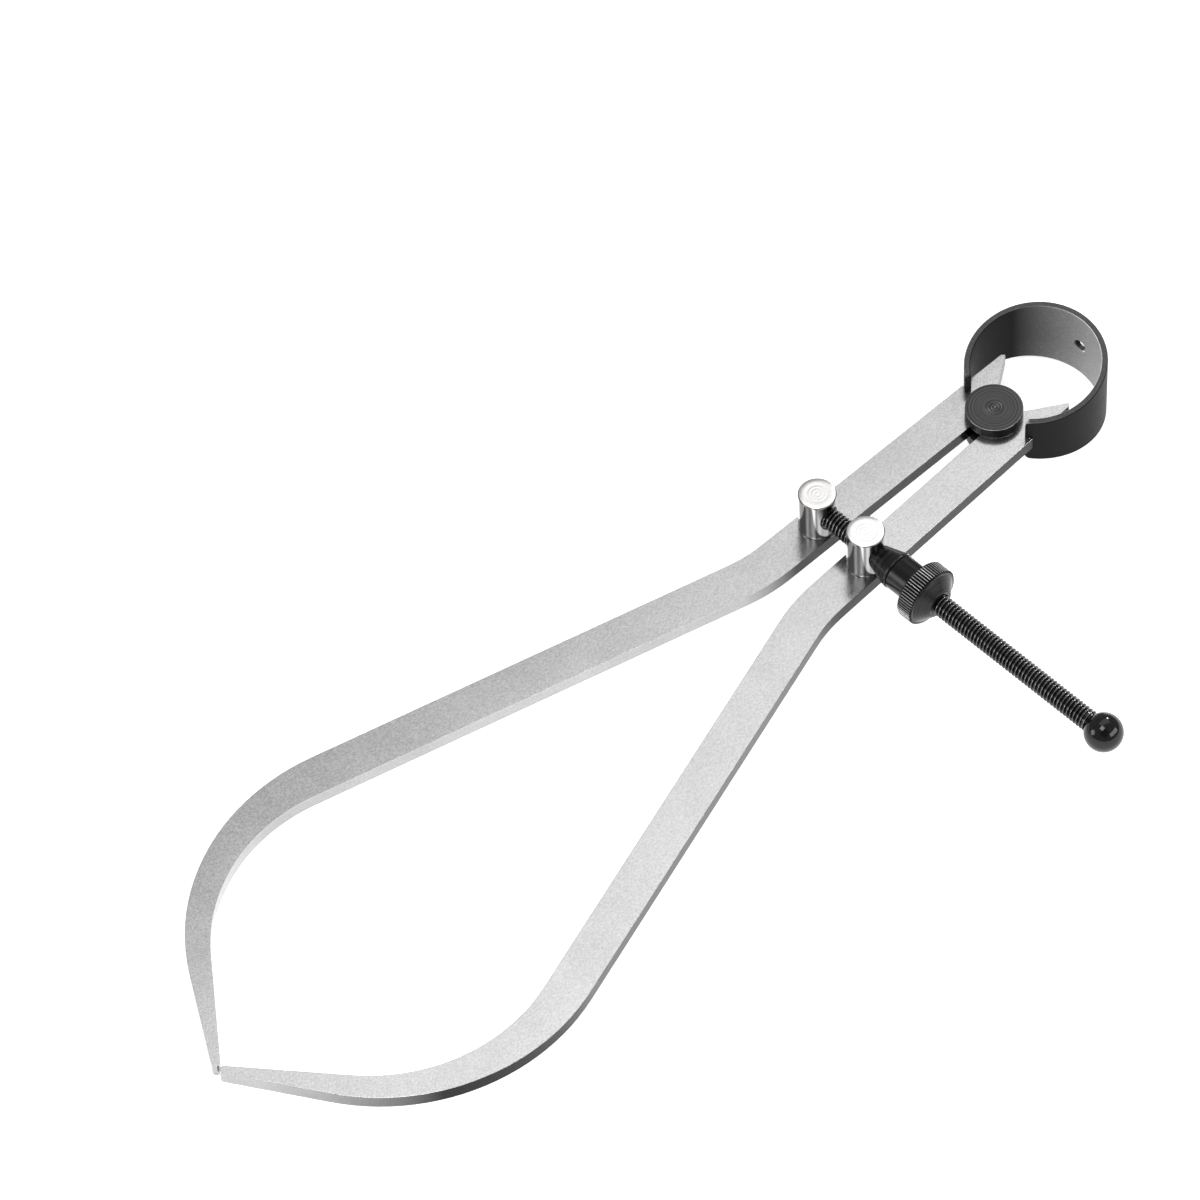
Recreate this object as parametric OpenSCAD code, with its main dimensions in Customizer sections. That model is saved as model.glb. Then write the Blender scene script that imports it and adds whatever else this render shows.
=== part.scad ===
// Outside spring caliper. It lies flat: +Z up, +Y from the tips towards the bow, screw along +X.
// The origin is on the fulcrum's axis, at the underside of its lower flange.

/* [Legs] */
// Width of a leg's flat bar
leg_w = 7.8; // [7.2:0.2:9]
// Thickness of the leg stock
leg_t = 3; // [2:0.1:4]
// Distance from the fulcrum's axis to a leg's inner edge
inner_edge = 1.2; // [0.8:0.1:1.6]
// Angle between each bar and the centre line at rest
rest_tilt = 1.5; // [1.5:0.5:3]
// Straight bar from the fulcrum's axis to the first bend
bar_len = 51.5; // [48:0.5:60]
// How far the flank turns outwards at the first bend
bend_turn = 15; // [15:0.5:17]
// Radius of the outer edge in the first bend
bend_r = 30; // [20:1:40]
// Length of the bar's head above the fulcrum's axis, along its outer edge
head_len = 11.4; // [10:0.2:12]
// Height above the fulcrum's axis where the slanting end starts
head_cut = 1; // [0.5:0.1:2]

/* [Leg curve and tip] */
// Straight flank along the outer edge
flank_out = 86; // [84.8:0.2:87.6]
// Straight flank along the inner edge
flank_in = 89.2; // [88:0.2:90.4]
// Radius of the outer edge in the big curve
curve_r_out = 41.4; // [40:0.1:42.5]
// Radius of the inner edge in the big curve
curve_r_in = 34.2; // [33.3:0.1:35.3]
// How far the outer edge turns in the big curve
curve_turn_out = 74.8; // [73.8:0.2:75.8]
// How far the inner edge turns in the big curve
curve_turn_in = 67.4; // [66.4:0.2:67.8]
// Straight stretch of the outer edge that runs to the tip
nib_out = 19.3; // [18.7:0.1:19.9]
// Straight stretch of the inner edge that runs to the tip
nib_in = 22.8; // [22.2:0.1:23.3]

/* [Fulcrum] */
// Diameter of the fulcrum's two flanges
flange_d = 10.9; // [9:0.1:12]
// Thickness of the stud's upper flange
flange_t = 2.3; // [1.5:0.1:3]
// Diameter of the neck that the legs roll on
neck_d = 5; // [4.4:0.1:5.6]
// Diameter of the tail that is peened into the washer
tail_d = 3.5; // [3:0.1:4]
// Thickness of the fulcrum's washer
washer_t = 2.25; // [1.5:0.05:3]

/* [Bow spring] */
// Outer diameter of the bow
bow_d = 26.8; // [26:0.1:28]
// Thickness of the spring strip
strip_t = 1.2; // [0.8:0.1:1.4]
// Height of the strip at the crown
crown_h = 16.5; // [14:0.5:18]
// Height of the strip at its two ends
strip_end_h = 10.6; // [9:0.2:12]
// Distance from the fulcrum's axis to the bow's centre
bow_y = 11.2; // [11:0.1:11.6]
// Angle of the bow's ends below the bow's centre
bow_end = 55; // [53:1:57]
// Height of the bow's middle above the middle of the legs
bow_lift = 0.4; // [0:0.1:1]
// Diameter of the hanging hole in the crown
hang_d = 2.5; // [1.5:0.1:4]
// Depth of the notch in a leg that holds the bow
notch_depth = 0.5; // [0.3:0.1:0.8]

/* [Posts] */
// Distance along the bar from the fulcrum's axis to a post
post_y = 40.8; // [38:0.2:42]
// Diameter of a post
post_d = 7.2; // [6.6:0.1:7.6]
// Height of a post above the leg
post_h = 9.6; // [9:0.2:12]
// Diameter of the post's shank in the leg
shank_d = 4; // [3.4:0.1:4.6]
// Diameter of the tail that is peened over the washer
rivet_d = 2.8; // [2.2:0.1:3.2]
// Diameter of the washer under the leg
post_washer_d = 6.4; // [5.6:0.1:7]
// Thickness of the washer under the leg
post_washer_t = 0.8; // [0.5:0.1:1]

/* [Screw and nut] */
// Major diameter of the screw
screw_d = 4.17; // [3.5:0.01:4.4]
// Height of the screw's axis above the legs
screw_h = 5; // [4.6:0.1:5.4]
// Distance from the centre line to the ball's centre
ball_x = 65.7; // [62:0.1:70]
// Diameter of the ball on the screw's end
ball_d = 7.4; // [6.6:0.1:8]
// Distance from the post's axis to the thrust bush's far end
bush_end = 8.3; // [7.6:0.1:9]
// Largest diameter of the thrust bush
bush_d = 7.4; // [7:0.1:8]
// Diameter of the nut's hub
hub_d = 7.1; // [6.6:0.1:7.6]
// Length of the nut's hub
hub_len = 5.05; // [4:0.05:6]
// Diameter over the knurl
knurl_d = 11.9; // [10:0.1:13]
// Width of the knurled rim
knurl_len = 3.6; // [3:0.1:4.5]
// Number of ridges in the knurl
knurl_count = 64; // [48:2:72]
// Depth of the knurl
knurl_depth = 0.25; // [0.1:0.05:0.4]
// Length of the nut's tapered back
back_len = 1.9; // [1:0.1:2.2]
// Diameter where the tapered back ends
back_d = 5.6; // [5:0.1:6.5]

/* [Hidden] */
$fn = 96;
play = 0.05;
seat_gap = 0.1;
edge = 0.2;
past = 1;
arc_step = 3;
corner_r = 0.6;
leg_z = washer_t + play;
leg_top = leg_z + leg_t;
flange_z = leg_top + play;
outer_edge = inner_edge + leg_w;
bow_r = bow_d / 2;
bow_z = leg_z + leg_t / 2 + bow_lift;
post_along = (inner_edge + outer_edge) / 2;
post_cx = post_along * cos(rest_tilt) + post_y * sin(rest_tilt);
post_cy = post_along * sin(rest_tilt) - post_y * cos(rest_tilt);
post_base = leg_top + play;
screw_z = leg_top + screw_h;
screw_r = screw_d / 2;
screw_start = -post_cx - 2.6;
nose_d = 4.8;
nose_x = 3.25;
land = 0.5;
peen_h = 0.45;
peen_d = 4.4;
countersink = 0.6;

// Unit vectors of an edge that runs down a leg; 0 is along -Y, and a positive angle turns inwards
function ahead(a) = [-sin(a), -cos(a)];
function inward(a) = [-cos(a), sin(a)];

// Points of an arc of radius r that leaves point p at heading a and turns by the given angle
function arc(p, a, r, turn) =
    let (side = turn > 0 ? r : -r, steps = ceil(abs(turn) / arc_step), centre = p + side * inward(a))
    [for (i = [0:steps]) centre - side * inward(a + turn * i / steps)];

// One edge of a leg from the fulcrum's axis to the tip: bar, bend, flank, big curve and nib
function leg_edge(x, r_bend, flank, r_curve, turn, nib) =
    let (bend = arc([x, -bar_len], 0, r_bend, -bend_turn),
         bend_end = bend[len(bend) - 1],
         curve = arc(bend_end + flank * ahead(-bend_turn), -bend_turn, r_curve, turn),
         curve_end = curve[len(curve) - 1])
    concat(bend, curve, [curve_end + nib * ahead(turn - bend_turn)]);

// Points between p and q on the half circle over them, clockwise
function round_end(p, q) =
    let (centre = (p + q) / 2, from_centre = p - centre)
    [for (a = [30:30:150]) centre + [from_centre.x * cos(a) + from_centre.y * sin(a),
                                     from_centre.y * cos(a) - from_centre.x * sin(a)]];

function reversed(list) = [for (i = [len(list) - 1:-1:0]) list[i]];

// The right leg's outline with its bar along Y
module leg_outline() {
    outer = leg_edge(outer_edge, bend_r, flank_out, curve_r_out, curve_turn_out, nib_out);
    inner = leg_edge(inner_edge, bend_r + leg_w, flank_in, curve_r_in, curve_turn_in, nib_in);
    head = [[inner_edge, head_cut], [outer_edge - corner_r, head_len], [outer_edge, head_len - corner_r]];
    tip = round_end(outer[len(outer) - 1], inner[len(inner) - 1]);
    polygon(concat(head, outer, tip, reversed(inner)));
}

// The ring that the bow's strip follows, seen from above
module strip_ring(margin) {
    translate([0, bow_y]) difference() {
        circle(r = bow_r + margin);
        circle(r = bow_r - strip_t - margin);
    }
}

// The shallow notch in a leg's outer edge that locates the bow
module bow_notch() {
    intersection() {
        strip_ring(0.15);
        rotate(rest_tilt) translate([outer_edge - notch_depth, -5]) square([5, 12]);
    }
}

module leg() {
    translate([0, 0, leg_z]) difference() {
        linear_extrude(leg_t) difference() {
            rotate(rest_tilt) leg_outline();
            bow_notch();
        }
        translate([0, 0, -past]) cylinder(d = neck_d + 2 * play, h = leg_t + 2 * past);
        translate([post_cx, post_cy, -past]) cylinder(d = shank_d + 2 * play, h = leg_t + 2 * past);
    }
}

module left_leg() {
    color([0.76, 0.76, 0.77]) mirror([1, 0, 0]) leg();
}

module right_leg() {
    color([0.76, 0.76, 0.77]) leg();
}

// A disc with a bevelled rim on its upper edge
module bevelled_disc(d, h) {
    cylinder(d = d, h = h - edge);
    translate([0, 0, h - edge]) cylinder(d1 = d, d2 = d - 2 * edge, h = edge);
}

// Flange, neck and tail turned in one piece, with the tail peened flush into the washer
module fulcrum_stud() {
    color([0.2, 0.2, 0.21]) {
        translate([0, 0, flange_z]) bevelled_disc(flange_d, flange_t);
        translate([0, 0, washer_t]) cylinder(d = neck_d, h = flange_z - washer_t + edge);
        cylinder(d = tail_d, h = washer_t + edge);
        cylinder(d1 = tail_d + 2 * countersink, d2 = tail_d, h = countersink);
    }
}

module fulcrum_washer() {
    color([0.2, 0.2, 0.21]) difference() {
        translate([0, 0, washer_t]) mirror([0, 0, 1]) bevelled_disc(flange_d, washer_t);
        translate([0, 0, -past]) cylinder(d = tail_d, h = washer_t + 2 * past);
        cylinder(d1 = tail_d + 2 * countersink, d2 = tail_d, h = countersink);
    }
}

// The slots let each end of the strip straddle a leg
module bow_slot() {
    translate([0, 0, leg_z - play]) linear_extrude(leg_t + 2 * play) rotate(rest_tilt)
        translate([0, -5]) square([outer_edge - notch_depth + play, 10]);
}

// The strip's outline seen from the side: tall at the crown and low at the ends
module bow_taper() {
    strip_end_y = bow_y - bow_r * sin(bow_end);
    translate([-bow_d, 0, bow_z]) rotate([90, 0, 90]) linear_extrude(2 * bow_d)
        polygon([[strip_end_y - past, -strip_end_h / 2], [bow_y + bow_r, -crown_h / 2],
                 [bow_y + bow_r, crown_h / 2], [strip_end_y - past, strip_end_h / 2]]);
}

module bow_spring() {
    color([0.22, 0.22, 0.23]) difference() {
        intersection() {
            translate([0, bow_y, bow_z]) rotate(-bow_end) rotate_extrude(angle = 180 + 2 * bow_end)
                translate([bow_r - strip_t, -crown_h / 2]) square([strip_t, crown_h]);
            bow_taper();
        }
        bow_slot();
        mirror([1, 0, 0]) bow_slot();
        translate([0, bow_y, bow_z]) rotate([-90, 0, 0]) cylinder(d = hang_d, h = bow_d);
    }
}

// A post at the origin: head, shank through the leg, and tail peened under the washer
module post_blank() {
    translate([0, 0, post_base]) bevelled_disc(post_d, post_h - play);
    translate([0, 0, leg_z - play]) cylinder(d = shank_d, h = leg_t + 2 * play + edge);
    translate([0, 0, leg_z - play - post_washer_t]) cylinder(d = rivet_d, h = post_washer_t + edge);
    translate([0, 0, leg_z - play - post_washer_t - peen_h]) cylinder(d1 = rivet_d, d2 = peen_d, h = peen_h);
}

module post_washer() {
    color([0.8, 0.8, 0.78]) translate([0, 0, leg_z - play - post_washer_t]) difference() {
        cylinder(d = post_washer_d, h = post_washer_t);
        translate([0, 0, -past]) cylinder(d = rivet_d, h = post_washer_t + 2 * past);
    }
}

// A round cut along +X through a post, at the screw's height
module cross_bore(x, d1, d2, h) {
    translate([x, 0, screw_z]) rotate([0, 90, 0]) cylinder(d1 = d1, d2 = d2, h = h);
}

// The screw is fixed in this post's blind bore
module screw_post() {
    color([0.86, 0.86, 0.84]) translate([-post_cx, post_cy, 0]) difference() {
        post_blank();
        cross_bore(screw_start + post_cx, screw_d, screw_d, post_d);
        cross_bore(post_d / 2 - 0.8, screw_d, screw_d + 2, 1);
    }
}

// The screw slides through this post, and the bush's nose seats in its counterbore
module nut_post() {
    color([0.86, 0.86, 0.84]) translate([post_cx, post_cy, 0]) difference() {
        post_blank();
        cross_bore(-post_d, screw_d + 2 * seat_gap, screw_d + 2 * seat_gap, 2 * post_d);
        cross_bore(nose_x, nose_d + 2 * seat_gap, nose_d + 2 * seat_gap, post_d);
    }
}

module screw_post_washer() {
    translate([-post_cx, post_cy, 0]) post_washer();
}

module nut_post_washer() {
    translate([post_cx, post_cy, 0]) post_washer();
}

module adjusting_screw() {
    color([0.12, 0.12, 0.12]) translate([screw_start, post_cy, screw_z]) rotate([0, 90, 0])
        cylinder(d = screw_d, h = ball_x + past - screw_start);
}

module end_ball() {
    color([0.1, 0.1, 0.1]) translate([ball_x, post_cy, screw_z]) rotate([0, 90, 0]) rotate_extrude()
        difference() {
            circle(d = ball_d);
            translate([-ball_d, -ball_d]) square([ball_d, 2 * ball_d]);
            translate([-past, -ball_d]) square([screw_r + past, ball_d + past]);
        }
}

// A turned piece on the screw's axis; its profile is [distance from the nut post's axis, radius]
module turned(profile) {
    translate([post_cx, post_cy, screw_z]) rotate([0, 90, 0]) rotate_extrude()
        polygon([for (p = profile) [p[1], p[0]]]);
}

module thrust_bush() {
    bore = screw_r + seat_gap;
    color([0.16, 0.16, 0.16]) turned([[nose_x, bore], [nose_x, nose_d / 2],
        [bush_end - land, bush_d / 2], [bush_end, bush_d / 2], [bush_end, bore]]);
}

// Ridges around the nut's rim, one point at each crest and each root
module knurled_disc() {
    linear_extrude(knurl_len) polygon([for (i = [0:2 * knurl_count - 1])
        let (a = 180 * i / knurl_count, r = knurl_d / 2 - (i % 2) * knurl_depth) [r * cos(a), r * sin(a)]]);
}

module adjusting_nut() {
    bore = screw_r + 1.2 * play;
    hub_start = bush_end + play;
    rim_start = hub_start + hub_len;
    rim_end = rim_start + knurl_len;
    shoulder_r = knurl_d / 2 - knurl_depth - edge;
    color([0.16, 0.16, 0.16]) difference() {
        union() {
            turned([[hub_start, 0], [hub_start, hub_d / 2], [rim_end - edge, hub_d / 2],
                [rim_end - edge, shoulder_r], [rim_end, shoulder_r], [rim_end + back_len, back_d / 2],
                [rim_end + back_len, 0]]);
            translate([post_cx + rim_start, post_cy, screw_z]) rotate([0, 90, 0]) knurled_disc();
        }
        translate([post_cx, post_cy, screw_z]) rotate([0, 90, 0]) cylinder(r = bore, h = 2 * rim_end);
    }
}

fulcrum_stud();
fulcrum_washer();
bow_spring();
left_leg();
right_leg();
screw_post();
screw_post_washer();
nut_post();
nut_post_washer();
adjusting_screw();
end_ball();
thrust_bush();
adjusting_nut();
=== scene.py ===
import math
import bmesh
import bpy
from mathutils import Matrix, Vector

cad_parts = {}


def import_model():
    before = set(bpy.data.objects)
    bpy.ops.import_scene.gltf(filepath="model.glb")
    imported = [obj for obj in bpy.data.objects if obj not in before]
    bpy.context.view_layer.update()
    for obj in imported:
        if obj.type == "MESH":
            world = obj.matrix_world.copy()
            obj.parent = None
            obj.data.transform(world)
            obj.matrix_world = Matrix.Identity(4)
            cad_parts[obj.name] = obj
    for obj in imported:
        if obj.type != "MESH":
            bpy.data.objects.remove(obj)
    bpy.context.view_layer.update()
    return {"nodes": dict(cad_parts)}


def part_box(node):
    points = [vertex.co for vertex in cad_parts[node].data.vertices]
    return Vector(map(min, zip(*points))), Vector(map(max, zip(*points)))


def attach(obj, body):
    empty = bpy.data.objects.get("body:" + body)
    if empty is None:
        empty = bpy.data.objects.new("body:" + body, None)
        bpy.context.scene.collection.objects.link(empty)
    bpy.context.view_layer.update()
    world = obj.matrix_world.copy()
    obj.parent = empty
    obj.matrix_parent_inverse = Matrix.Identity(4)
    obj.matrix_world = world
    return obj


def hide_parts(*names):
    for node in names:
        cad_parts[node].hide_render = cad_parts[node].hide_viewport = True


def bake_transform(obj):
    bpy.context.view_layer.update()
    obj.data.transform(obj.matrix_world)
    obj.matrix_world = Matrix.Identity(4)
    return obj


# Outside spring caliper: detailed pieces, materials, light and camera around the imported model.
# Lengths are in metres; MM turns millimetres into metres. Each piece is built where its CAD node is.

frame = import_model()

MM = 0.001
SHARP = math.radians(35)


# ---------------------------------------------------------------- places and sizes from the model

def box_centre(node):
    low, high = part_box(node)
    return (low + high) / 2


def box_size(node):
    low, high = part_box(node)
    return high - low


LEG_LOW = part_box("right_leg")[0].z
LEG_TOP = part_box("right_leg")[1].z
LEG_EDGE = 0.26 * MM

FLANGE_R = box_size("fulcrum_stud").x / 2
FLANGE_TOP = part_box("fulcrum_stud")[1].z
FLANGE_T = 2.3 * MM
NECK_R = 2.5 * MM
RIVET_FLARE = 0.6 * MM
LOWER_FLANGE_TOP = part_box("fulcrum_washer")[1].z

BOW_R = box_size("bow_spring").x / 2
BOW_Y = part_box("bow_spring")[1].y - BOW_R
BOW_Z = box_centre("bow_spring").z
CROWN_HALF = box_size("bow_spring").z / 2
STRIP_END_HALF = 5.3 * MM
STRIP_T = 1.2 * MM
STRIP_END = math.radians(55)
STRIP_CORNER_R = 1.1 * MM
HANG_R = 1.25 * MM
SLOT_END_X = 8.55 * MM
SLOT_CORNER_R = 1.0 * MM

SCREW_POST = box_centre("screw_post")
NUT_POST = box_centre("nut_post")
POST_R = box_size("screw_post").x / 2
POST_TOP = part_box("screw_post")[1].z
SHANK_R = 2.0 * MM
TAIL_R = 1.4 * MM
PEEN_R = 2.2 * MM

SCREW = box_centre("adjusting_screw")
SCREW_R = box_size("adjusting_screw").z / 2
PITCH = 0.794 * MM
THREAD_DEPTH = 0.46 * MM
BALL_R = box_size("end_ball").z / 2
BALL_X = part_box("end_ball")[1].x - BALL_R

BUSH_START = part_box("thrust_bush")[0].x
BUSH_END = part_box("thrust_bush")[1].x
BUSH_R = box_size("thrust_bush").z / 2
NOSE_R = 2.4 * MM

NUT_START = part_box("adjusting_nut")[0].x
NUT_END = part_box("adjusting_nut")[1].x
NUT_BACK = 1.9 * MM
RIM_END = NUT_END - NUT_BACK
RIM_START = RIM_END - 3.6 * MM
RIM_R = box_size("adjusting_nut").z / 2
HUB_R = 3.55 * MM
BACK_R = 2.8 * MM
RIDGES = 64
RIDGE_DEPTH = 0.36 * MM


# ---------------------------------------------------------------- mesh helpers

def fillet(points, radius, steps=4):
    """The open line of 2D points with each inner corner rounded."""
    rounded = [points[0]]
    for before, corner, after in zip(points, points[1:], points[2:]):
        corner = Vector(corner)
        back = Vector(before) - corner
        ahead = Vector(after) - corner
        reach = min(radius, 0.45 * back.length, 0.45 * ahead.length)
        start = corner + back.normalized() * reach
        end = corner + ahead.normalized() * reach
        for i in range(steps + 1):
            t = i / steps
            rounded.append((1 - t) ** 2 * start + 2 * t * (1 - t) * corner + t ** 2 * end)
    return rounded + [points[-1]]


def lathe(profile, origin, axis="Z", segments=96, ripple=None):
    """A solid of revolution from (along, radius) points. It has a bore unless the first radius is 0."""
    bm = bmesh.new()
    rings = []
    for along, radius in profile:
        ring = []
        for i in range(segments if radius > 0 else 1):
            angle = 2 * math.pi * i / segments
            r = ripple(along, radius, angle) if ripple else radius
            across = (r * math.cos(angle), r * math.sin(angle))
            point = (along, *across) if axis == "X" else (*across, along)
            ring.append(bm.verts.new(Vector(origin) + Vector(point)))
        rings.append(ring)
    if profile[0][1] > 0:
        rings.append(rings[0])
    for ring, following in zip(rings, rings[1:]):
        for i in range(segments):
            j = (i + 1) % segments
            corners = [ring[i % len(ring)], ring[j % len(ring)]]
            corners += [following[j % len(following)], following[i % len(following)]]
            bm.faces.new(dict.fromkeys(corners))
    return bm


def grooves(top, radii, width, depth):
    """Profile points of shallow ring grooves in a flat top, from the centre outwards."""
    points = []
    for r in radii:
        points += [(top, r - width), (top - depth, r), (top, r + width)]
    return points


def cut(blank, *cutters):
    """The blank with each cutter taken out of it."""
    made = []
    for bm in (blank, *cutters):
        bmesh.ops.recalc_face_normals(bm, faces=bm.faces)
        mesh = bpy.data.meshes.new("blank")
        bm.to_mesh(mesh)
        bm.free()
        made.append(bpy.data.objects.new("blank", mesh))
        bpy.context.scene.collection.objects.link(made[-1])
    for cutter in made[1:]:
        boolean = made[0].modifiers.new("cut", "BOOLEAN")
        boolean.solver = "EXACT"
        boolean.object = cutter
    evaluated = made[0].evaluated_get(bpy.context.evaluated_depsgraph_get())
    result = bmesh.new()
    result.from_mesh(evaluated.to_mesh())
    for obj in made:
        bpy.data.meshes.remove(obj.data)
    return result


def piece(name, bm, material, slot, body, *nodes):
    """A finished piece of the object. It stands for the CAD nodes, and rides on the body if one is named."""
    bmesh.ops.recalc_face_normals(bm, faces=bm.faces)
    for face in bm.faces:
        face.smooth = True
    for edge in bm.edges:
        edge.smooth = edge.calc_face_angle(0) < SHARP
    mesh = bpy.data.meshes.new(name)
    bm.to_mesh(mesh)
    bm.free()
    mesh.materials.append(material)
    obj = bpy.data.objects.new(name, mesh)
    bpy.context.scene.collection.objects.link(obj)
    obj.modifiers.new("normals", "WEIGHTED_NORMAL").keep_sharp = True
    if nodes:
        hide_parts(*nodes)
    if body:
        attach(obj, body)
    return obj


# ---------------------------------------------------------------- materials

CLOUDS_PER_METRE = 90
UP = (0, 0, 1)
ALONG_SCREW = (1, 0, 0)
TO_TIPS = (0, -1, 0)
# Directions in the object's own axes that painted shade and highlights are keyed to.
TO_RIGHT_FRONT = (0.74, -0.67, 0)
TO_LEFT_FRONT = (-0.8, -0.6, 0)
TO_LEFT = (-0.87, -0.5, 0)
# Limits on the size of the normal's part along an axis, which pick the faces that shade, highlights and
# reflections are painted on. Each is a pair that a limit fades over.
SIDE_FACES = (0.5, 0.8)
EDGE_FACES = ((0.86, 0.93), (0.3, 0.45))
ROUND_FACES = (0.4, 0.7)


def metal(name, dark, light, rough, metallic, grain, bump, specular=0.5, turned=None, painted_shading=()):
    """A metal finish. grain holds the fine marks' lengths along x, y and z, and bump is their height.

    turned holds the last arguments of ring_marks. Each function in the last argument comes with its last
    arguments, and paints shade, highlights or reflections into the base colour.
    """
    material = bpy.data.materials.new(name)
    material.use_nodes = True
    nodes = material.node_tree.nodes
    links = material.node_tree.links
    shader = nodes["Principled BSDF"]
    shader.inputs["Metallic"].default_value = metallic
    shader.inputs["Specular IOR Level"].default_value = specular
    place = nodes.new("ShaderNodeTexCoord").outputs["Object"]

    stretch = nodes.new("ShaderNodeMapping")
    stretch.inputs["Scale"].default_value = [1 / length for length in grain]
    links.new(place, stretch.inputs["Vector"])
    marks = nodes.new("ShaderNodeTexNoise")
    marks.inputs["Scale"].default_value = 1
    marks.inputs["Detail"].default_value = 3
    links.new(stretch.outputs["Vector"], marks.inputs["Vector"])
    clouds = nodes.new("ShaderNodeTexNoise")
    clouds.inputs["Scale"].default_value = CLOUDS_PER_METRE
    clouds.inputs["Detail"].default_value = 4
    links.new(place, clouds.inputs["Vector"])

    blend = nodes.new("ShaderNodeMix")
    blend.inputs["Factor"].default_value = 0.25
    links.new(marks.outputs["Fac"], blend.inputs["A"])
    links.new(clouds.outputs["Fac"], blend.inputs["B"])
    colour = nodes.new("ShaderNodeValToRGB")
    colour.color_ramp.elements[0].position = 0.36
    colour.color_ramp.elements[0].color = (*dark, 1)
    colour.color_ramp.elements[1].position = 0.64
    colour.color_ramp.elements[1].color = (*light, 1)
    links.new(blend.outputs["Result"], colour.inputs["Fac"])
    tint = colour.outputs["Color"]
    # Paint shade, highlights and reflections into the base colour, one function after another.
    for change, *settings in painted_shading:
        tint = change(nodes, links, tint, *settings)
    links.new(tint, shader.inputs["Base Color"])

    roughness = map_range(nodes, links, blend.outputs["Result"], 0.3, 0.7, *rough)
    links.new(roughness, shader.inputs["Roughness"])

    relief = nodes.new("ShaderNodeBump")
    relief.inputs["Strength"].default_value = 1
    relief.inputs["Distance"].default_value = bump
    links.new(marks.outputs["Fac"], relief.inputs["Height"])
    if turned:
        ring_height, rings = ring_marks(nodes, links, *turned)
        links.new(ring_height, blend.inputs["A"])
        links.new(rings, relief.inputs["Normal"])
    links.new(relief.outputs["Normal"], shader.inputs["Normal"])
    return material


def painted_side_shade(nodes, links, tint, kind, along, start, end, least, greatest):
    """Paints shade and light into the colour of side faces, scaling it from least at start to greatest at
    end.

    Start and end are measured along a vector. Kind says what on: "Normal" or, for the place, "Object".
    """
    level = level_along(nodes, links, kind, along, start, end, least, greatest)
    return scale_where(nodes, links, tint, level, UP, SIDE_FACES)


def painted_front_shade(nodes, links, tint, front, behind, *settings):
    """Paints shade and light into side faces: those facing the front get the side shade that the last
    arguments give, and the rest get the even level behind.
    """
    towards = dot(nodes, links, nodes.new("ShaderNodeTexCoord").outputs["Normal"], front)
    share = map_range(nodes, links, towards, -0.1, 0.1, 0, 1)
    return painted_shared_shade(nodes, links, tint, share, behind, *settings)


def painted_bow_reflection(nodes, links, tint, outside, *settings):
    """Paints reflections into the bow's faces: those on the inside get the side shade that the last arguments
    give, and those outside get the even level outside.
    """
    outwards = nodes.new("ShaderNodeVectorMath")
    outwards.operation = "DOT_PRODUCT"
    links.new(nodes.new("ShaderNodeTexCoord").outputs["Normal"], outwards.inputs[0])
    links.new(axis_offset(nodes, links, "Z", (0, BOW_Y, 0)), outwards.inputs[1])
    share = map_range(nodes, links, outwards.outputs["Value"], -0.3 * BOW_R, 0.3 * BOW_R, 1, 0)
    return painted_shared_shade(nodes, links, tint, share, outside, *settings)


def painted_shared_shade(nodes, links, tint, share, other, *settings):
    """Paints shade and light into side faces: from the even level other at share 0 to the side shade that the
    last arguments give at share 1.
    """
    level = nodes.new("ShaderNodeMix")
    links.new(share, level.inputs["Factor"])
    level.inputs["A"].default_value = other
    links.new(level_along(nodes, links, *settings), level.inputs["B"])
    return scale_where(nodes, links, tint, level.outputs["Result"], UP, SIDE_FACES)


def painted_edge_light(nodes, links, tint, along, least, greatest):
    """Paints highlights and shade on the rounded edges of flat faces: the colour is scaled from least to
    greatest along a vector.
    """
    level = level_along(nodes, links, "Normal", along, -0.4, 0.4, least, greatest)
    return scale_where(nodes, links, tint, level, UP, *EDGE_FACES)


def painted_crest_highlight(nodes, links, tint, centre, radius, fade, amount):
    """Paints highlights on the crests that reach a radius round an axis along X, by scaling their colour."""
    distance = axis_distance(nodes, links, "X", centre)
    level = map_range(nodes, links, distance, radius - fade, radius, 1, amount)
    return scale_where(nodes, links, tint, level, ALONG_SCREW, ROUND_FACES)


def painted_reflection_bands(nodes, links, tint, least, greatest, frequency):
    """Paints reflections on side faces: the colour is scaled in uneven bands that run up the piece."""
    normal = nodes.new("ShaderNodeTexCoord").outputs["Normal"]
    around = nodes.new("ShaderNodeVectorMath")
    around.operation = "MULTIPLY"
    around.inputs[1].default_value = (frequency, frequency, 0)
    links.new(normal, around.inputs[0])
    bands = nodes.new("ShaderNodeTexNoise")
    bands.inputs["Scale"].default_value = 1
    bands.inputs["Detail"].default_value = 1
    links.new(around.outputs["Vector"], bands.inputs["Vector"])
    level = map_range(nodes, links, bands.outputs["Fac"], 0.42, 0.58, least, greatest)
    return scale_where(nodes, links, tint, level, UP, SIDE_FACES)


def level_along(nodes, links, kind, along, start, end, least, greatest):
    """A level that goes from least to greatest between two distances along a vector."""
    distance = dot(nodes, links, nodes.new("ShaderNodeTexCoord").outputs[kind], along)
    return map_range(nodes, links, distance, start, end, least, greatest)


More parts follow.
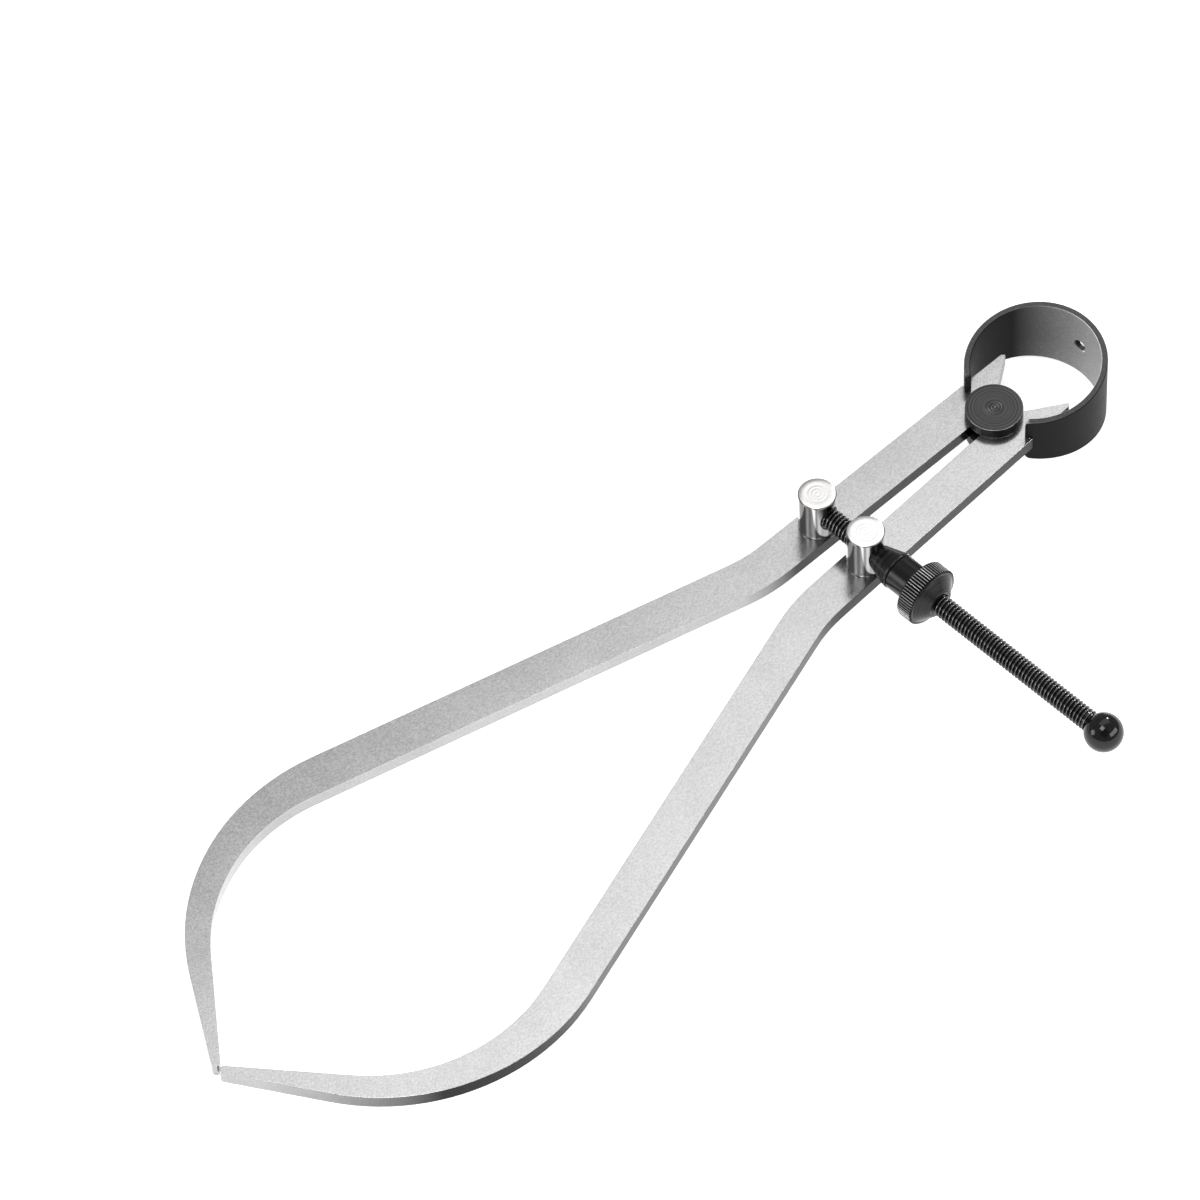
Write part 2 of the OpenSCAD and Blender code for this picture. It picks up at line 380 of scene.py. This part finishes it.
def scale_where(nodes, links, tint, level, axis, below, above=None):
    """The colour times the level, where the normal's part along the axis is below, and above, its limits."""
    lean = nodes.new("ShaderNodeMath")
    lean.operation = "ABSOLUTE"
    links.new(dot(nodes, links, nodes.new("ShaderNodeTexCoord").outputs["Normal"], axis), lean.inputs[0])
    weight = map_range(nodes, links, lean.outputs["Value"], *below, 1, 0)
    if above:
        both = nodes.new("ShaderNodeMath")
        both.operation = "MULTIPLY"
        links.new(weight, both.inputs[0])
        links.new(map_range(nodes, links, lean.outputs["Value"], *above, 0, 1), both.inputs[1])
        weight = both.outputs["Value"]
    share = nodes.new("ShaderNodeMix")
    links.new(weight, share.inputs["Factor"])
    share.inputs["A"].default_value = 1
    links.new(level, share.inputs["B"])
    scaled = nodes.new("ShaderNodeVectorMath")
    scaled.operation = "SCALE"
    links.new(tint, scaled.inputs[0])
    links.new(share.outputs["Result"], scaled.inputs["Scale"])
    return scaled.outputs["Vector"]


def dot(nodes, links, vector, along):
    """The vector's part along another, which is given as three numbers."""
    product = nodes.new("ShaderNodeVectorMath")
    product.operation = "DOT_PRODUCT"
    product.inputs[1].default_value = along
    links.new(vector, product.inputs[0])
    return product.outputs["Value"]


def axis_offset(nodes, links, axis, centre):
    """The vector to a place from an axis through the centre, square to the axis."""
    offset = nodes.new("ShaderNodeVectorMath")
    offset.operation = "SUBTRACT"
    offset.inputs[1].default_value = centre
    links.new(nodes.new("ShaderNodeTexCoord").outputs["Object"], offset.inputs[0])
    across = nodes.new("ShaderNodeVectorMath")
    across.operation = "MULTIPLY"
    across.inputs[1].default_value = (0, 1, 1) if axis == "X" else (1, 1, 0)
    links.new(offset.outputs["Vector"], across.inputs[0])
    return across.outputs["Vector"]


def axis_distance(nodes, links, axis, centre):
    """How far a place is from an axis through the centre."""
    distance = nodes.new("ShaderNodeVectorMath")
    distance.operation = "LENGTH"
    links.new(axis_offset(nodes, links, axis, centre), distance.inputs[0])
    return distance.outputs["Value"]


def map_range(nodes, links, value, start, end, least, greatest):
    """A level that goes from least to greatest while the value goes from start to end."""
    mapped = nodes.new("ShaderNodeMapRange")
    mapped.inputs["From Min"].default_value = start
    mapped.inputs["From Max"].default_value = end
    mapped.inputs["To Min"].default_value = least
    mapped.inputs["To Max"].default_value = greatest
    links.new(value, mapped.inputs["Value"])
    return mapped.outputs["Result"]


def ring_marks(nodes, links, axis, centre, spacing, depth):
    """The height and the normal of uneven ring marks round an axis, as a lathe tool leaves them."""
    marks = nodes.new("ShaderNodeTexNoise")
    marks.noise_dimensions = "1D"
    marks.inputs["Scale"].default_value = 1 / spacing
    marks.inputs["Detail"].default_value = 2
    links.new(axis_distance(nodes, links, axis, centre), marks.inputs["W"])
    rings = nodes.new("ShaderNodeBump")
    rings.inputs["Distance"].default_value = depth
    links.new(marks.outputs["Fac"], rings.inputs["Height"])
    return marks.outputs["Fac"], rings.outputs["Normal"]


def grey(level, warmth=0.0):
    """A grey colour, or a slightly warm one."""
    return (level * (1 + warmth), level, level * (1 - warmth))


def grain_lengths(x, y, z):
    """The lengths of fine marks, given in millimetres."""
    return (x * MM, y * MM, z * MM)


def leg_steel(name, bright_from, bright_to):
    """Fine ground steel with painted reflections. A leg's sides that face the front right are painted dark
    along the bar and bright beyond a distance down the leg, its other sides are painted evenly darker, and
    its rounded edges are painted brighter towards the front right and darker away from it.
    """
    sides = (painted_front_shade, TO_RIGHT_FRONT, 0.6, "Object", TO_TIPS, bright_from, bright_to, 0.02, 0.7)
    edges = (painted_edge_light, TO_RIGHT_FRONT, 0.4, 1.4)
    return metal(name, grey(0.5), grey(0.7), (0.17, 0.25), 1, grain_lengths(0.2, 0.4, 0.2), 0.002 * MM,
                 painted_shading=(sides, edges))


def nickel(name, centre):
    """Satin nickel with turned rings on top. Reflections are painted up the sides as uneven light and dark
    bands, and shade is painted evenly on the rounded rim.
    """
    return metal(name, grey(0.78, 0.01), grey(0.92, 0.01), (0.12, 0.22), 1, grain_lengths(0.5, 0.5, 0.2),
                 0.002 * MM, turned=("Z", centre, 0.3 * MM, 0.002 * MM),
                 painted_shading=((painted_reflection_bands, 0.12, 1, 2.4), (painted_edge_light, TO_RIGHT_FRONT, 0.2, 0.2)))


LEG_STEEL = {"left_leg": leg_steel("left_leg_steel", 50 * MM, 62 * MM),
             "right_leg": leg_steel("right_leg_steel", 174 * MM, 196 * MM)}
NICKEL = {"screw_post": nickel("screw_post_nickel", SCREW_POST),
          "nut_post": nickel("nut_post_nickel", NUT_POST)}
# Painted shade and highlights: the disc's sides are painted dark, darkest facing back right and less so
# towards the front left, and its rounded rims are painted bright towards the front right and darker away from
# it.
BLACK_DISC = metal("black_oxide_turned_flat", grey(0.045), grey(0.088), (0.3, 0.45), 0.7,
                   grain_lengths(0.3, 0.3, 0.3), 0.003 * MM, 0.3,
                   turned=("Z", (0, 0, 0), 0.3 * MM, 0.02 * MM),
                   painted_shading=((painted_side_shade, "Normal", TO_LEFT_FRONT, -0.3, 1, 0.04, 0.2),
                          (painted_edge_light, TO_RIGHT_FRONT, 0.3, 9)))
# Painted reflections and highlights: the bow's outside is painted evenly dark, its inside is painted from
# dark to light towards the front left, and its rounded edges are painted brighter towards the left.
SPRING_BLACK = metal("spring_black_oxide", grey(0.07), grey(0.1), (0.4, 0.55), 0.05,
                     grain_lengths(0.5, 0.5, 0.25), 0.004 * MM, 0.06,
                     painted_shading=((painted_bow_reflection, 0.1, "Normal", TO_LEFT_FRONT, -0.45, 1, 0.1, 5.4),
                            (painted_edge_light, TO_LEFT, 0.3, 4)))
# Painted highlights: the thread's outward-facing crests are painted up to nine times lighter than its roots.
THREAD_BLACK = metal("thread_black_oxide", grey(0.012), grey(0.03), (0.2, 0.32), 0.7,
                     grain_lengths(0.3, 0.3, 0.3), 0.003 * MM,
                     painted_shading=((painted_crest_highlight, SCREW, SCREW_R, 0.12 * MM, 9),))
# Painted highlights: the knurl's outward-facing crests on the nut's rim are painted up to sixteen times
# lighter than its grooves.
TURNED_BLACK = metal("black_oxide_turned_round", grey(0.014), grey(0.03), (0.2, 0.32), 0.7,
                     grain_lengths(0.12, 0.6, 0.6), 0.004 * MM,
                     turned=("X", SCREW, 0.2 * MM, 0.008 * MM),
                     painted_shading=((painted_crest_highlight, SCREW, RIM_R, 0.14 * MM, 16),))
BALL_BLACK = metal("ball_gloss_black", grey(0.006), grey(0.012), (0.06, 0.12), 0.3,
                   grain_lengths(0.6, 0.6, 0.6), 0.002 * MM)


# ---------------------------------------------------------------- legs

def bevelled_copy(node, width):
    """The CAD node's shape with its outline's edges rounded."""
    bm = bmesh.new()
    bm.from_mesh(frame["nodes"][node].data)
    bmesh.ops.remove_doubles(bm, verts=bm.verts, dist=0.001 * MM)
    bmesh.ops.dissolve_limit(bm, angle_limit=math.radians(1), verts=bm.verts, edges=bm.edges)
    sharp = [edge for edge in bm.edges if edge.calc_face_angle(0) > math.radians(50)]
    bmesh.ops.bevel(bm, geom=sharp, offset=width, segments=3, profile=0.5, affect="EDGES", clamp_overlap=True)
    return bm


for side in ("left_leg", "right_leg"):
    piece(side + "_bar", bevelled_copy(side, LEG_EDGE), LEG_STEEL[side], "leg_steel", side, side)


# ---------------------------------------------------------------- fulcrum

def fulcrum_stud():
    under = FLANGE_TOP - FLANGE_T
    tail_r = 1.75 * MM
    outline = [(under, NECK_R), (under, FLANGE_R), (FLANGE_TOP, FLANGE_R), (FLANGE_TOP, FLANGE_R - 1 * MM)]
    marks = grooves(FLANGE_TOP, [r * MM for r in (0.42, 1.0, 1.6)], 0.2 * MM, 0.07 * MM)
    profile = [(FLANGE_TOP, 0)] + marks + fillet(outline[::-1], 0.24 * MM)
    profile += [(LOWER_FLANGE_TOP, NECK_R), (LOWER_FLANGE_TOP, tail_r), (RIVET_FLARE, tail_r)]
    profile += [(0, tail_r + RIVET_FLARE), (0, 0)]
    return lathe(profile, (0, 0, 0))


def fulcrum_washer():
    bore = 1.8 * MM
    outline = [(LOWER_FLANGE_TOP, bore), (LOWER_FLANGE_TOP, FLANGE_R), (0, FLANGE_R), (0, bore + RIVET_FLARE)]
    return lathe(fillet(outline, 0.22 * MM) + [(RIVET_FLARE, bore)], (0, 0, 0))


piece("fulcrum_disc", fulcrum_stud(), BLACK_DISC, "black_oxide", "fulcrum", "fulcrum_stud")
piece("fulcrum_lower_disc", fulcrum_washer(), BLACK_DISC, "black_oxide", "fulcrum", "fulcrum_washer")


# ---------------------------------------------------------------- bow spring

def half_height(y):
    """Half the strip's height at a given y: it tapers evenly from the crown to the ends."""
    end_y = BOW_Y - BOW_R * math.sin(STRIP_END) - 1 * MM
    share = (y - end_y) / (BOW_Y + BOW_R - end_y)
    return STRIP_END_HALF + share * (CROWN_HALF - STRIP_END_HALF)


def strip_section(half, corner=0.25 * MM):
    """(outwards, up) points round a section of the strip, with rounded corners."""
    across = STRIP_T / 2 - corner
    points = []
    for quarter in range(4):
        for i in range(4):
            angle = math.pi / 2 * (quarter + i / 3)
            sideways = math.copysign(across, math.cos(math.pi / 2 * quarter + math.pi / 4))
            upwards = math.copysign(half - corner, math.sin(math.pi / 2 * quarter + math.pi / 4))
            points.append((sideways + corner * math.cos(angle), upwards + corner * math.sin(angle)))
    return points


def strip():
    """The whole bent strip, without its slots and hole."""
    middle_r = BOW_R - STRIP_T / 2
    length = middle_r * (math.pi + 2 * STRIP_END)
    quarter = 8
    steps = 240
    corner = [STRIP_CORNER_R * (1 - math.cos(math.pi / 2 * i / quarter)) for i in range(quarter + 1)]
    even = [corner[-1] + (length - 2 * corner[-1]) * i / steps for i in range(1, steps)]
    bm = bmesh.new()
    rings = []
    for travel in corner + even + [length - s for s in corner[::-1]]:
        angle = travel / middle_r - STRIP_END
        left = min(travel, length - travel, STRIP_CORNER_R)
        drop = STRIP_CORNER_R - math.sqrt(STRIP_CORNER_R ** 2 - (STRIP_CORNER_R - left) ** 2)
        outwards = Vector((math.cos(angle), math.sin(angle), 0))
        centre = Vector((0, BOW_Y, BOW_Z)) + outwards * middle_r
        section = strip_section(half_height(centre.y) - drop)
        rings.append([bm.verts.new(centre + outwards * out + Vector((0, 0, up))) for out, up in section])
    for ring, following in zip(rings, rings[1:]):
        for i in range(len(ring)):
            j = (i + 1) % len(ring)
            bm.faces.new((ring[i], ring[j], following[j], following[i]))
    bm.faces.new(rings[0])
    bm.faces.new(rings[-1])
    return bm


def slot_cutter(side):
    """A block that cuts the slot where the strip straddles a leg; its far corners are rounded."""
    play = 0.05 * MM
    low = LEG_LOW - play
    high = LEG_TOP + play
    outline = fillet([(0, low), (SLOT_END_X, low), (SLOT_END_X, high), (0, high)], SLOT_CORNER_R, 6)
    bm = bmesh.new()
    reach = 5 * MM
    near = [bm.verts.new((side * x, -reach, z)) for x, z in outline]
    face = bm.faces.new(near)
    far = bmesh.ops.extrude_face_region(bm, geom=[face])["geom"]
    far_verts = [v for v in far if isinstance(v, bmesh.types.BMVert)]
    bmesh.ops.translate(bm, verts=far_verts, vec=(0, 2 * reach, 0))
    return bm


def hole_cutter():
    """A cutter for the hanging hole, with a small chamfer on both faces."""
    outer = BOW_R
    inner = BOW_R - STRIP_T
    chamfer = 0.12 * MM
    profile = [(inner - 1 * MM, 0), (inner - 1 * MM, HANG_R + 1 * MM + chamfer), (inner + chamfer, HANG_R)]
    profile += [(outer - chamfer, HANG_R), (outer + 1 * MM, HANG_R + 1 * MM + chamfer), (outer + 1 * MM, 0)]
    bm = lathe(profile, (0, 0, 0), "X", 48)
    bmesh.ops.rotate(bm, verts=bm.verts, matrix=Matrix.Rotation(math.pi / 2, 3, "Z"))
    bmesh.ops.translate(bm, verts=bm.verts, vec=(0, BOW_Y, BOW_Z))
    return bm


def bow_half(side):
    bm = cut(strip(), slot_cutter(1), slot_cutter(-1), hole_cutter())
    everything = bm.verts[:] + bm.edges[:] + bm.faces[:]
    away = (-side, 0, 0)
    split = bmesh.ops.bisect_plane(bm, geom=everything, plane_co=(0, 0, 0), plane_no=away, clear_outer=True)
    rim = [edge for edge in split["geom_cut"] if isinstance(edge, bmesh.types.BMEdge)]
    bmesh.ops.edgeloop_fill(bm, edges=rim)
    return bm


for side, body in ((-1, "left_leg"), (1, "right_leg")):
    half = piece("bow_half_" + body[:-4], bow_half(side), SPRING_BLACK, "spring_steel", None, "bow_spring")
    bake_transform(half)


# ---------------------------------------------------------------- posts

def post(axis_point, hole_r, nose_r):
    """A post's head, shank and tail. The bore along X through its head widens from hole_r to nose_r."""
    base = LEG_TOP + 0.05 * MM
    head = [(base, SHANK_R), (base, POST_R), (POST_TOP, POST_R), (POST_TOP, POST_R - 1 * MM)]
    marks = grooves(POST_TOP, [r * MM for r in (0.5, 1.2, 1.9)], 0.2 * MM, 0.006 * MM)
    profile = [(POST_TOP, 0)] + marks + fillet(head[::-1], 0.32 * MM)
    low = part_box("screw_post")[0].z
    profile += [(LEG_LOW - 0.05 * MM, SHANK_R), (LEG_LOW - 0.05 * MM, TAIL_R), (low + 0.45 * MM, TAIL_R)]
    profile += [(low + 0.3 * MM, PEEN_R), (low, PEEN_R * 0.55), (low, 0)]
    foot = Vector((axis_point.x, axis_point.y, 0))
    reach = 5 * MM
    bore = [(-reach, 0), (-reach, hole_r), (POST_R - 0.8 * MM, hole_r)]
    bore += [(POST_R + 0.2 * MM, nose_r), (reach, nose_r), (reach, 0)]
    bore_start = Vector((axis_point.x, axis_point.y, SCREW.z))
    return cut(lathe(profile, foot), lathe(bore, bore_start, "X", 64))


def post_washer(axis_point, node):
    low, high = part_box(node)
    outer = (high.x - low.x) / 2
    outline = [(high.z, TAIL_R), (high.z, outer), (low.z, outer), (low.z, TAIL_R)]
    return lathe(fillet(outline, 0.15 * MM), (axis_point.x, axis_point.y, 0))


for name, axis_point, nose_r in (("screw_post", SCREW_POST, SCREW_R + 1 * MM),
                                 ("nut_post", NUT_POST, NOSE_R + 0.1 * MM)):
    piece(name + "_body", post(axis_point, SCREW_R + 0.05 * MM, nose_r), NICKEL[name], "nickel", name, name)
    washer = name + "_washer"
    piece(washer + "_ring", post_washer(axis_point, washer), NICKEL[name], "nickel", name, washer)


# ---------------------------------------------------------------- screw and ball

def thread(start, end, columns=30):
    """A rod with a helical thread. Its rows follow the helix, so each ends one pitch further along."""
    root = SCREW_R - THREAD_DEPTH
    form = [(0.0, root), (0.12, root), (0.44, SCREW_R), (0.56, SCREW_R), (0.88, root)]
    turns = int((end - start) / PITCH)
    rows = []
    bm = bmesh.new()
    for turn in range(turns):
        for along, radius in form:
            row = []
            for i in range(columns):
                angle = 2 * math.pi * i / columns
                x = start + PITCH * (turn + along + i / columns)
                y = SCREW.y + radius * math.cos(angle)
                z = SCREW.z + radius * math.sin(angle)
                row.append(bm.verts.new((x, y, z)))
            rows.append(row)
    for row, following in zip(rows, rows[1:]):
        for i in range(columns - 1):
            bm.faces.new((row[i], row[i + 1], following[i + 1], following[i]))
    pitch_rows = len(form)
    for k in range(len(rows) - pitch_rows - 1):
        ahead = rows[k + pitch_rows]
        bm.faces.new((rows[k][-1], ahead[0], rows[k + pitch_rows + 1][0], rows[k + 1][-1]))
    first_rim = rows[0] + [rows[k][0] for k in range(pitch_rows, 0, -1)]
    last_rim = rows[-1] + [rows[-1 - k][-1] for k in range(1, pitch_rows + 1)]
    bm.faces.new(first_rim)
    bm.faces.new(last_rim)
    return bm


def end_ball():
    """The ball with the short plain neck that joins it to the thread."""
    neck_r = SCREW_R * 0.86
    neck_angle = math.asin(neck_r / BALL_R)
    profile = [(-BALL_R - 0.5 * MM, 0), (-BALL_R - 0.5 * MM, neck_r)]
    for i in range(49):
        angle = neck_angle + (math.pi - neck_angle) * i / 48
        profile.append((-BALL_R * math.cos(angle), max(0, BALL_R * math.sin(angle))))
    profile[-1] = (BALL_R, 0)
    return lathe(profile, (BALL_X, SCREW.y, SCREW.z), "X", 96)


thread_start = SCREW_POST.x - 2.2 * MM
thread_end = BALL_X - BALL_R + 0.4 * MM
piece("adjusting_screw_thread", thread(thread_start, thread_end), THREAD_BLACK,
      "screw_black", "screw_post", "adjusting_screw")
piece("end_ball_knob", end_ball(), BALL_BLACK, "ball_black", "screw_post", "end_ball")


# ---------------------------------------------------------------- thrust bush and nut

def thrust_bush():
    bore = SCREW_R + 0.08 * MM
    land = BUSH_END - 0.5 * MM
    outline = [(BUSH_START, bore), (BUSH_START, NOSE_R), (NUT_POST.x + POST_R, NOSE_R + 0.08 * MM)]
    outline += [(land, BUSH_R), (BUSH_END, BUSH_R), (BUSH_END, bore)]
    return lathe(fillet(outline, 0.2 * MM), (0, SCREW.y, SCREW.z), "X", 96)


def ridge(along, radius, angle):
    """Cuts the knurl into the rim: round crests with narrow grooves between them."""
    if radius < RIM_R - 0.3 * MM or not RIM_START - 0.01 * MM <= along <= RIM_END + 0.01 * MM:
        return radius
    crest = abs(math.sin(RIDGES * angle / 2))
    return radius - RIDGE_DEPTH * (1 - crest ** 2)


def adjusting_nut():
    bore = SCREW_R + 0.06 * MM
    face = 0.35 * MM
    front = [(NUT_START, bore), (NUT_START, HUB_R), (RIM_START, HUB_R), (RIM_START, RIM_R - face)]
    profile = fillet(front, 0.2 * MM)
    profile += [(RIM_START + face, RIM_R), (RIM_END - face, RIM_R), (RIM_END, RIM_R - face)]
    back = [(RIM_END, RIM_R - 2 * face), (NUT_END, BACK_R), (NUT_END, bore)]
    profile += fillet(back, 0.2 * MM)
    return lathe(profile, (0, SCREW.y, SCREW.z), "X", RIDGES * 6, ridge)


piece("thrust_bush_cone", thrust_bush(), TURNED_BLACK, "black_oxide", "nut_post", "thrust_bush")
piece("adjusting_nut_knurled", adjusting_nut(), TURNED_BLACK, "black_oxide", "adjusting_nut", "adjusting_nut")


# ---------------------------------------------------------------- floor, light and camera

def floor():
    """A pale, faintly glowing table that the caliper rests on with its tips and its crown's lower edge."""
    crown = Vector((0, BOW_Y + BOW_R, BOW_Z - CROWN_HALF))
    tips = Vector((0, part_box("right_leg")[0].y, LEG_LOW))
    along = (crown - tips).normalized()
    bm = bmesh.new()
    bmesh.ops.create_grid(bm, x_segments=1, y_segments=1, size=3)
    mesh = bpy.data.meshes.new("floor")
    bm.to_mesh(mesh)
    bm.free()
    obj = bpy.data.objects.new("floor", mesh)
    bpy.context.scene.collection.objects.link(obj)
    obj.location = crown - Vector((0, 0, 0.05 * MM))
    obj.rotation_euler = (math.atan2(along.z, along.y), 0, 0)
    material = bpy.data.materials.new("floor_pale")
    material.use_nodes = True
    shader = material.node_tree.nodes["Principled BSDF"]
    shader.inputs["Base Color"].default_value = (0.93, 0.93, 0.93, 1)
    shader.inputs["Roughness"].default_value = 0.9
    shader.inputs["Emission Color"].default_value = (1, 1, 1, 1)
    shader.inputs["Emission Strength"].default_value = 0.7
    mesh.materials.append(material)


def softbox(name, azimuth, elevation, distance, width, length, watts, aside=0.0):
    """An area light whose length runs along Y. It faces the object, and stands aside along its own width."""
    light = bpy.data.lights.new(name, "AREA")
    light.shape = "RECTANGLE"
    light.size = width
    light.size_y = length
    light.energy = watts
    obj = bpy.data.objects.new(name, light)
    bpy.context.scene.collection.objects.link(obj)
    towards = direction(azimuth, elevation)
    across = Vector((0, 1, 0)).cross(towards).normalized()
    obj.location = VIEW_TARGET + towards * distance + across * aside
    obj.rotation_euler = Matrix((across, towards.cross(across), towards)).transposed().to_euler()


def direction(azimuth, elevation):
    """The unit vector from the object towards a place. Azimuth 0 is along -Y and 90 along +X."""
    a = math.radians(azimuth)
    e = math.radians(elevation)
    return Vector((math.sin(a) * math.cos(e), -math.cos(a) * math.cos(e), math.sin(e)))


def camera(target, azimuth, elevation, roll, distance, lens):
    data = bpy.data.cameras.new("camera")
    data.lens = lens
    data.sensor_width = 36
    data.clip_end = 20
    obj = bpy.data.objects.new("camera", data)
    bpy.context.scene.collection.objects.link(obj)
    back = direction(azimuth, elevation)
    obj.location = target + back * distance
    turn = back.to_track_quat("Z", "Y").to_matrix() @ Matrix.Rotation(math.radians(roll), 3, "Z")
    obj.rotation_euler = turn.to_euler()
    bpy.context.scene.camera = obj


def world():
    """A bright room with a dark area at the front right, which gives the round pieces their dark lines."""
    made = bpy.data.worlds.new("studio")
    made.use_nodes = True
    nodes = made.node_tree.nodes
    links = made.node_tree.links
    towards = nodes.new("ShaderNodeVectorMath")
    towards.operation = "DOT_PRODUCT"
    towards.inputs[1].default_value = direction(48, 50)
    links.new(nodes.new("ShaderNodeTexCoord").outputs["Generated"], towards.inputs[0])
    level = nodes.new("ShaderNodeMapRange")
    level.inputs["From Min"].default_value = 0.84
    level.inputs["From Max"].default_value = 0.97
    level.inputs["To Min"].default_value = 0.36
    level.inputs["To Max"].default_value = 0.06
    links.new(towards.outputs["Value"], level.inputs["Value"])
    links.new(level.outputs["Result"], nodes["Background"].inputs["Strength"])
    nodes["Background"].inputs["Color"].default_value = (1, 1, 1, 1)
    bpy.context.scene.world = made


VIEW_TARGET = Vector((-22.96, -80.52, 5.3)) * MM
VIEW_AZIMUTH = 47.72
VIEW_ELEVATION = 54.66

floor()
world()
softbox("key", VIEW_AZIMUTH + 180, VIEW_ELEVATION, 0.9, 0.5, 0.9, 1.5, 0.26)
softbox("overhead", VIEW_AZIMUTH - 25, 76, 1.2, 0.45, 0.45, 4)
softbox("sparkle", 200, 32, 1.2, 0.12, 0.12, 2.5)
softbox("edge_right", 113, 24, 1.2, 0.4, 1.1, 6)
softbox("edge_front", -28, 21, 1.2, 0.5, 0.5, 3.5)
camera(VIEW_TARGET, VIEW_AZIMUTH, VIEW_ELEVATION, -3.16, 1465.5 * MM, 240)
bpy.context.scene.view_settings.view_transform = "Standard"
